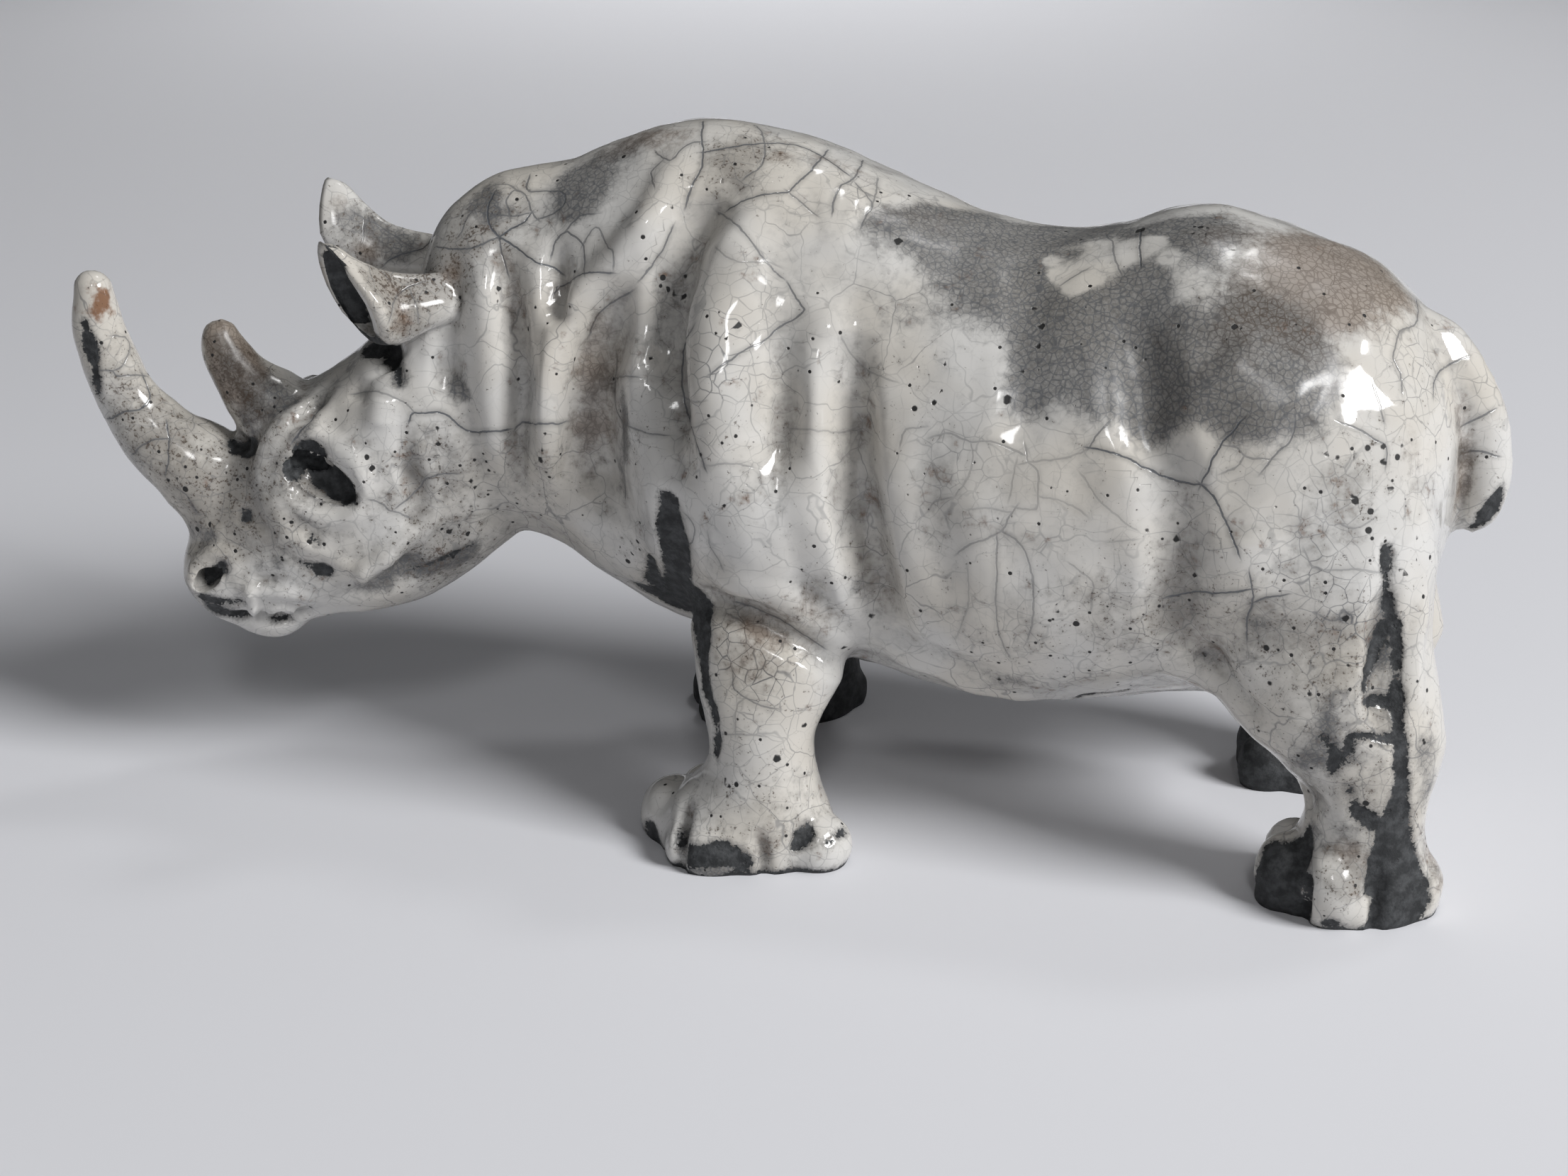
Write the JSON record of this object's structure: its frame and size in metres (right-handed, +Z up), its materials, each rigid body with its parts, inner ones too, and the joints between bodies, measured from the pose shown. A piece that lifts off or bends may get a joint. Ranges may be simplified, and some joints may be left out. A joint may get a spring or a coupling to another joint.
{
  "type": "rhinoceros figurine",
  "caption": "Standing rhinoceros figurine in crackled white raku glaze over charcoal clay, head turned slightly to its left, on flat soles.",
  "frame": {"origin": "centre of the bounding box's underside, on the ground that the feet stand on", "axes": "+X from head to tail, -Y to the animal's left, which the head turns towards, +Z up"},
  "size_m": [0.32, 0.1184, 0.1576],
  "materials": {
    "crackled_glaze": "glossy warm white crackle glaze with charcoal lines, over bare matte charcoal clay"
  },
  "bodies": {
    "root": {"rhinoceros": "crackled_glaze"}
  },
  "joints": []
}
